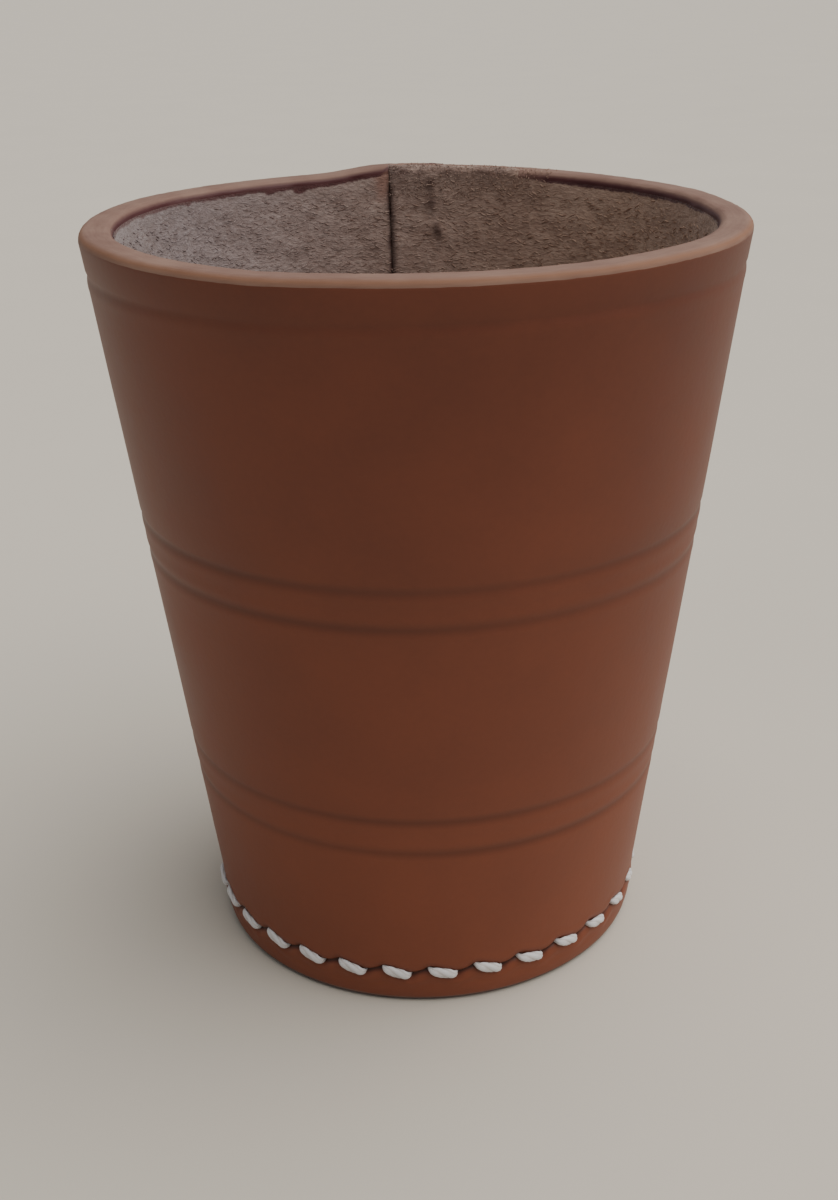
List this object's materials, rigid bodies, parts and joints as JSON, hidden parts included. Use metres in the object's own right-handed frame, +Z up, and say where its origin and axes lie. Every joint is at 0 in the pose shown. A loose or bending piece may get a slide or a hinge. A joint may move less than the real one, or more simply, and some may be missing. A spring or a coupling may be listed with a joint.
{
  "type": "leather dice cup",
  "caption": "Tapered leather dice cup with a rolled wall, a scarfed seam, a moulded base dish set inside the foot and a saddle-stitched row round it.",
  "frame": {"origin": "on the table, in the middle of the foot", "axes": "+Z up along the axis of the cup to the mouth, -Y to the front, so the wall's seam is at the back near +Y"},
  "size_m": [0.0842, 0.084, 0.1],
  "materials": {
    "wall_leather": "smooth cognac grain outside, rough suede flesh side inside, burnished edges",
    "base_leather": "wet-moulded leather, suede side up inside the cup, grain side underneath",
    "waxed_thread": "twisted off-white waxed thread"
  },
  "bodies": {
    "root": {"cup_wall": "wall_leather", "base_dish": "base_leather", "saddle_thread": "waxed_thread"}
  },
  "joints": []
}
